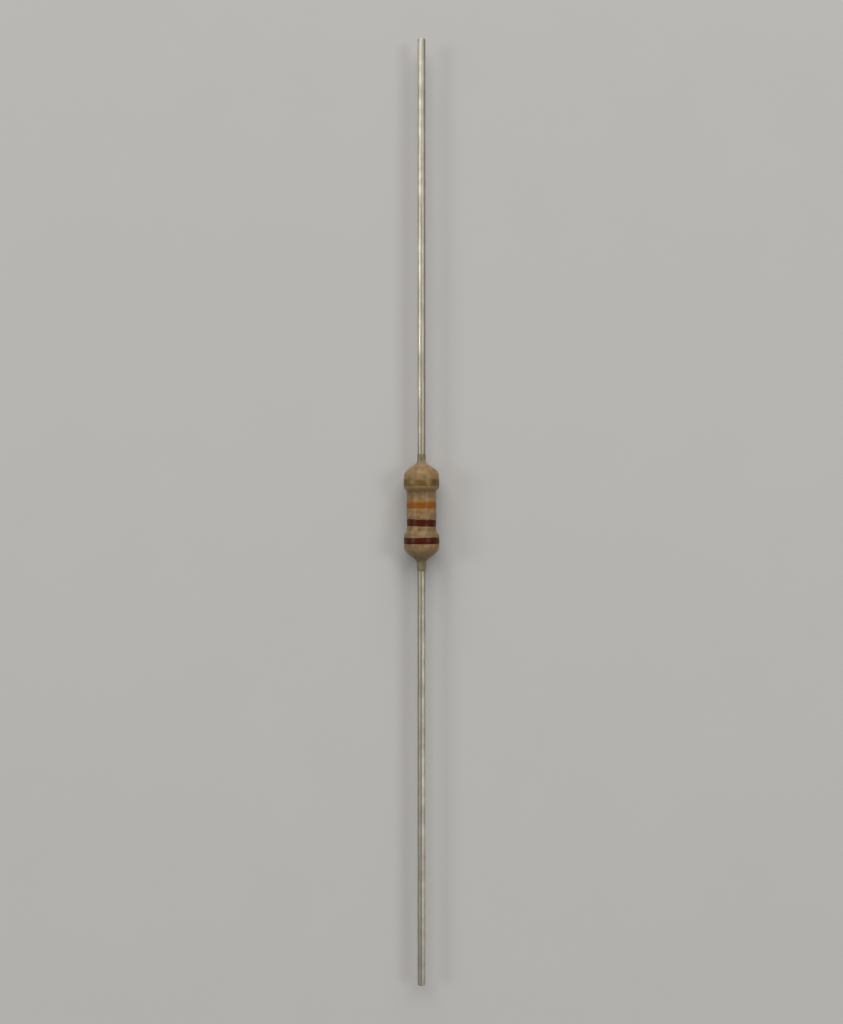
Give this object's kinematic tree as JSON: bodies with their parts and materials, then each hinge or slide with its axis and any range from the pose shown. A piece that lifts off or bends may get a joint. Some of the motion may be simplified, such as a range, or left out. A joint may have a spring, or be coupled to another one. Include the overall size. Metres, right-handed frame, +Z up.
{
  "type": "fixed resistor",
  "caption": "Axial-lead carbon film resistor with a waisted lacquered body, colour rings and straight tinned wire leads.",
  "frame": {"origin": "middle of the body on the wires' common axis, which is also the middle of the whole length", "axes": "+X along the axis towards the tolerance ring's end, +Z up, away from the surface that the resistor lies over"},
  "size_m": [0.06, 0.0022, 0.0022],
  "materials": {
    "ceramic": "matte",
    "carbon": "satin",
    "cap_steel": "satin",
    "tinned_wire": "satin",
    "lacquer": "satin",
    "red_paint": "satin",
    "orange_paint": "satin",
    "gold_paint": "satin"
  },
  "bodies": {
    "root": {"ceramic_core": "ceramic", "carbon_film": "carbon", "end_cap_first": "cap_steel", "end_cap_tolerance": "cap_steel", "lead_wire_first": "tinned_wire", "lead_wire_tolerance": "tinned_wire", "lacquer_coat": "lacquer", "ring_first_digit": "red_paint", "ring_second_digit": "red_paint", "ring_multiplier": "orange_paint", "ring_tolerance": "gold_paint"}
  },
  "joints": []
}
